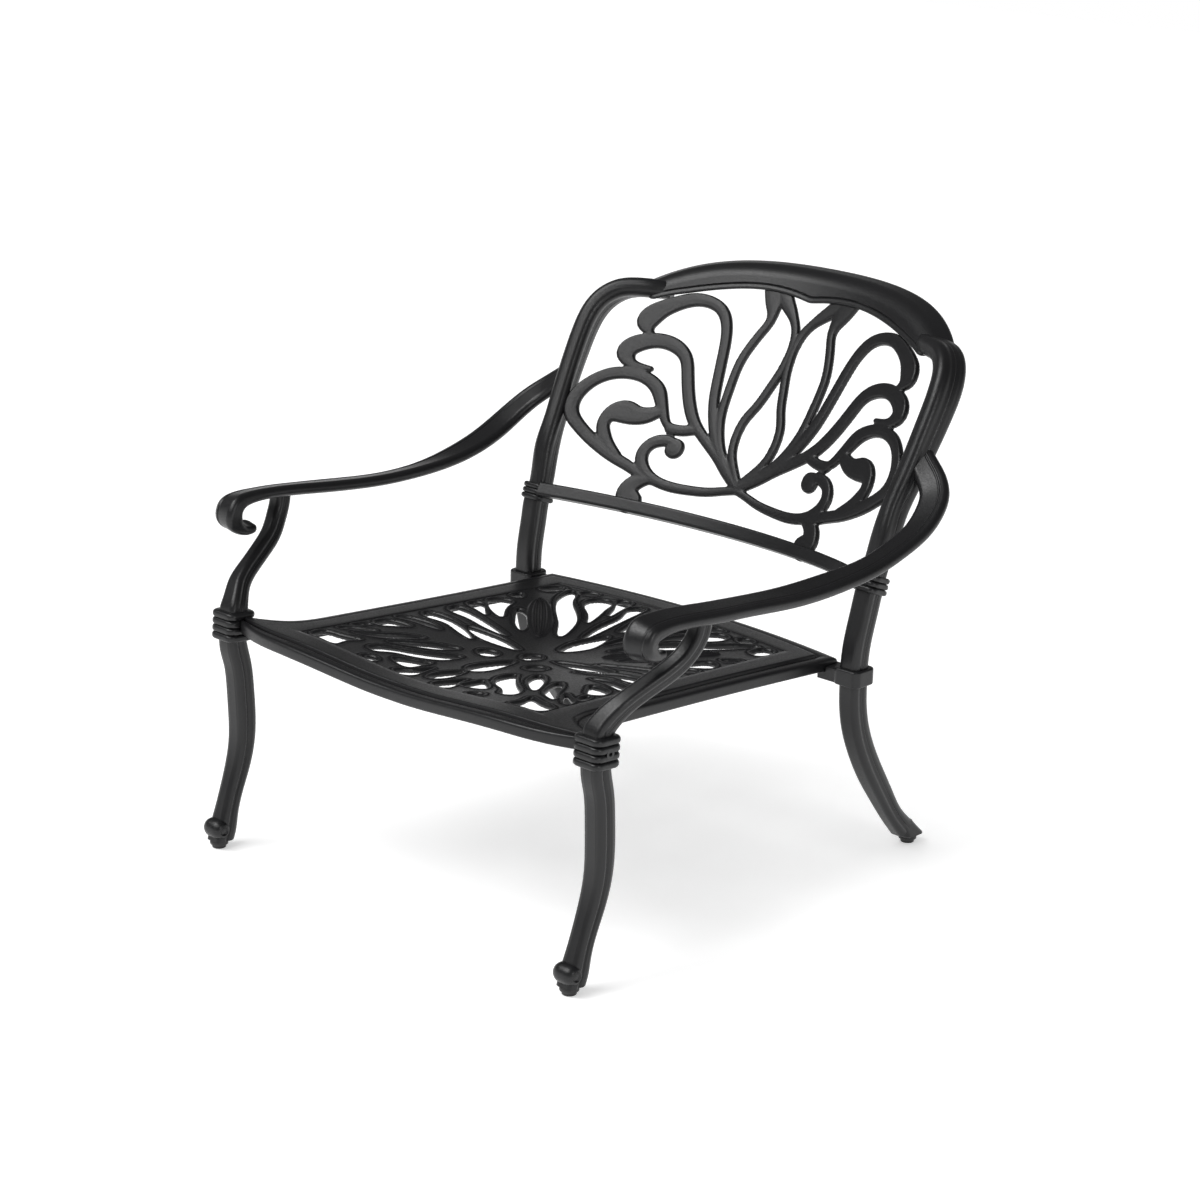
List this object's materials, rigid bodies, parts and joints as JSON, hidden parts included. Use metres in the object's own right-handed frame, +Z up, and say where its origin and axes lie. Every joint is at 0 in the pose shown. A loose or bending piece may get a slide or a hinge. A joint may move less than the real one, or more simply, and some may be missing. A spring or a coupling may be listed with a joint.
{
  "type": "garden armchair",
  "caption": "Low cast-metal garden armchair with an openwork scroll back, a leaf-pattern seat, curved arms, cabriole front legs and levelling glides.",
  "frame": {"origin": "on the floor, under the middle of the chair's outer box", "axes": "+Z up, the chair faces -Y, +X to the viewer's right when seen from the front"},
  "size_m": [0.807, 0.8948, 0.7376],
  "materials": {
    "powder_coat": "satin black powder coat with a fine texture, on cast metal",
    "bolt_steel": "black coated steel, satin",
    "plated_steel": "zinc plated, satin",
    "glide_plastic": "moulded black plastic, matte"
  },
  "bodies": {
    "frame": {"arm_rail_left": "powder_coat", "arm_rail_right": "powder_coat", "arm_support_left": "powder_coat", "arm_support_right": "powder_coat", "back_collar_left": "powder_coat", "back_collar_right": "powder_coat", "back_cross_rail": "powder_coat", "back_grille": "powder_coat", "back_post_left": "powder_coat", "back_post_right": "powder_coat", "crest_rail": "powder_coat", "front_collar_bolts": "bolt_steel", "front_collar_left": "powder_coat", "front_collar_right": "powder_coat", "front_leg_left": "powder_coat", "front_leg_right": "powder_coat", "leg_thread_inserts": "plated_steel", "rear_leg_left": "powder_coat", "rear_leg_right": "powder_coat", "rear_lug_bolts": "bolt_steel", "rear_lug_left": "powder_coat", "rear_lug_right": "powder_coat", "rear_lug_washers": "bolt_steel", "seat_front_rail": "powder_coat", "seat_leaf_panel": "powder_coat", "seat_rear_rail": "powder_coat", "seat_side_rail_left": "powder_coat", "seat_side_rail_right": "powder_coat"},
    "front_left_glide": {"front_glide_foot_left": "glide_plastic", "front_glide_stud_left": "plated_steel"},
    "front_right_glide": {"front_glide_foot_right": "glide_plastic", "front_glide_stud_right": "plated_steel"},
    "rear_left_glide": {"rear_glide_foot_left": "glide_plastic", "rear_glide_stud_left": "plated_steel"},
    "rear_right_glide": {"rear_glide_foot_right": "glide_plastic", "rear_glide_stud_right": "plated_steel"}
  },
  "joints": [
    {"name": "front_left_glide_screw", "type": "slide", "parent": "frame", "child": "front_left_glide", "axis": [0, 0, -1], "range_m": [0, 0.006]},
    {"name": "front_right_glide_screw", "type": "slide", "parent": "frame", "child": "front_right_glide", "axis": [0, 0, -1], "range_m": [0, 0.006]},
    {"name": "rear_left_glide_screw", "type": "slide", "parent": "frame", "child": "rear_left_glide", "axis": [0, 0, -1], "range_m": [0, 0.006]},
    {"name": "rear_right_glide_screw", "type": "slide", "parent": "frame", "child": "rear_right_glide", "axis": [0, 0, -1], "range_m": [0, 0.006]}
  ]
}
